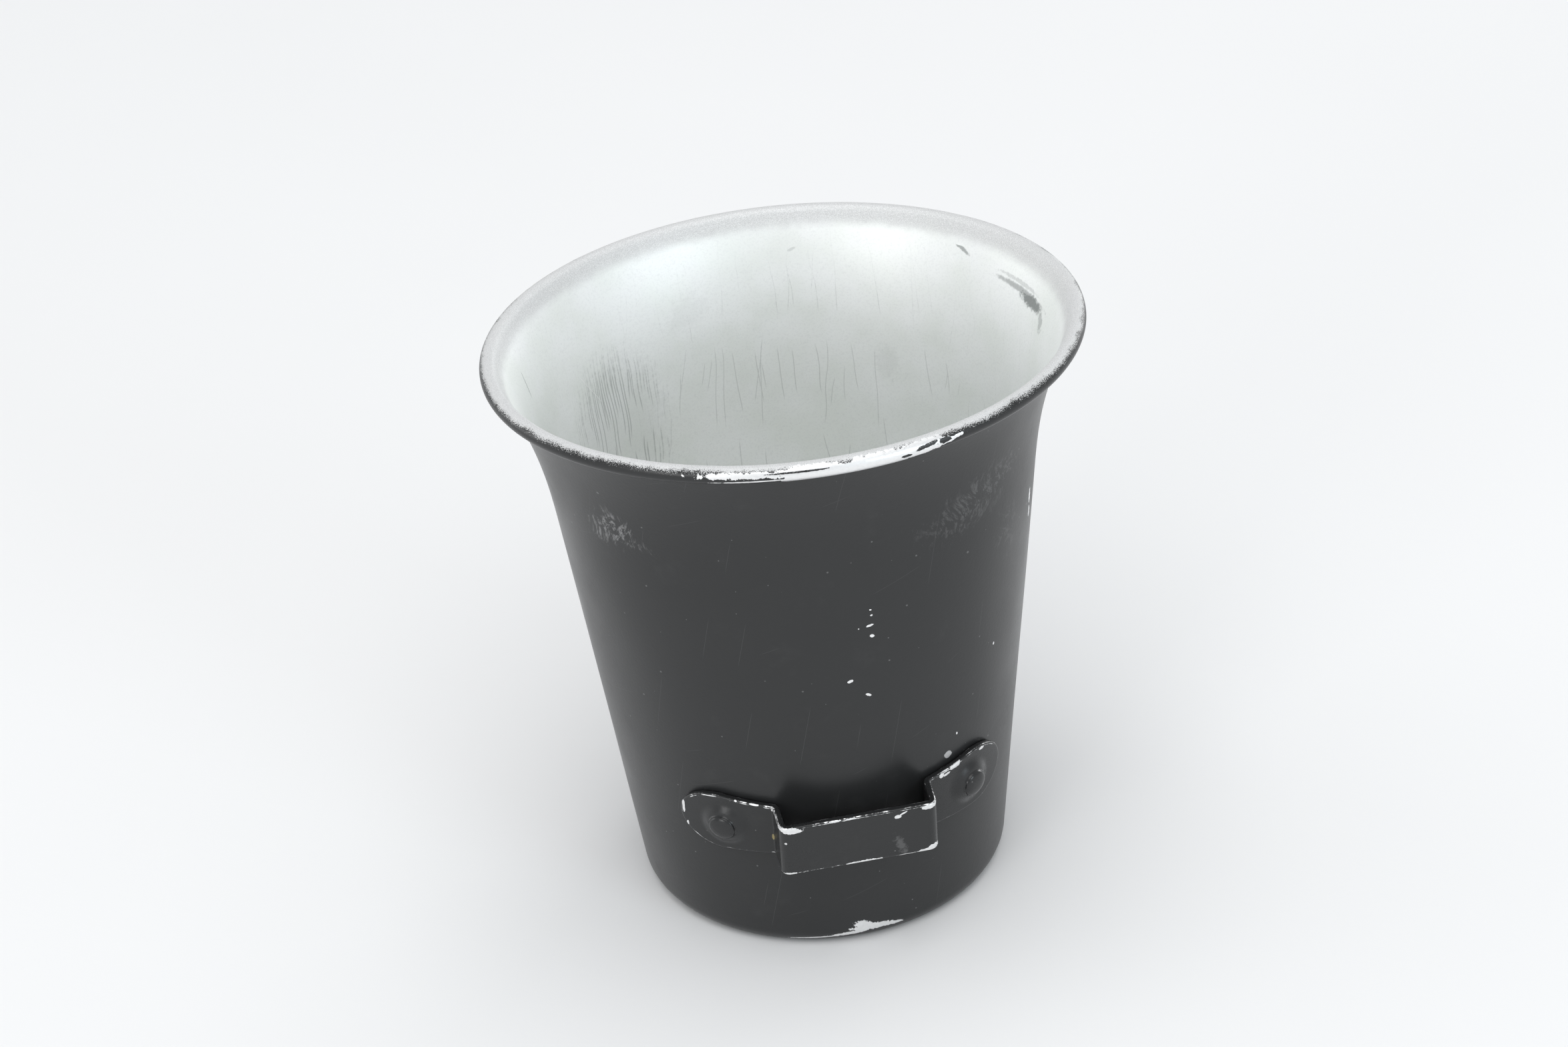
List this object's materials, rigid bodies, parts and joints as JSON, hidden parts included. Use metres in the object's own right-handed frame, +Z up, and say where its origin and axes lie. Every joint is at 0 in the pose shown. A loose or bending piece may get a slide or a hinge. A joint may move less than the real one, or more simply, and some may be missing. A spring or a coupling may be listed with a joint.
{
  "type": "canteen drinking cup",
  "caption": "Tapered sheet-metal drinking cup with a flared, slightly oval mouth, a rolled rim and a riveted strap loop low on one side.",
  "frame": {"origin": "middle of the flat base, on the plane the cup stands on", "axes": "+Z up out of the mouth, +X along the long way of the oval mouth, and the strap loop on the -Y side"},
  "size_m": [0.0914, 0.0792, 0.094],
  "materials": {
    "painted_cup": "worn black satin paint over drawn aluminium outside, bare satin aluminium on the rim and inside",
    "painted_strap": "black satin paint, chipped to bright metal along the edges and corners",
    "painted_rivet": "black satin paint with small worn highlights"
  },
  "bodies": {
    "root": {"cup_body": "painted_cup", "strap_loop": "painted_strap", "rivet_left": "painted_rivet", "rivet_right": "painted_rivet"}
  },
  "joints": []
}
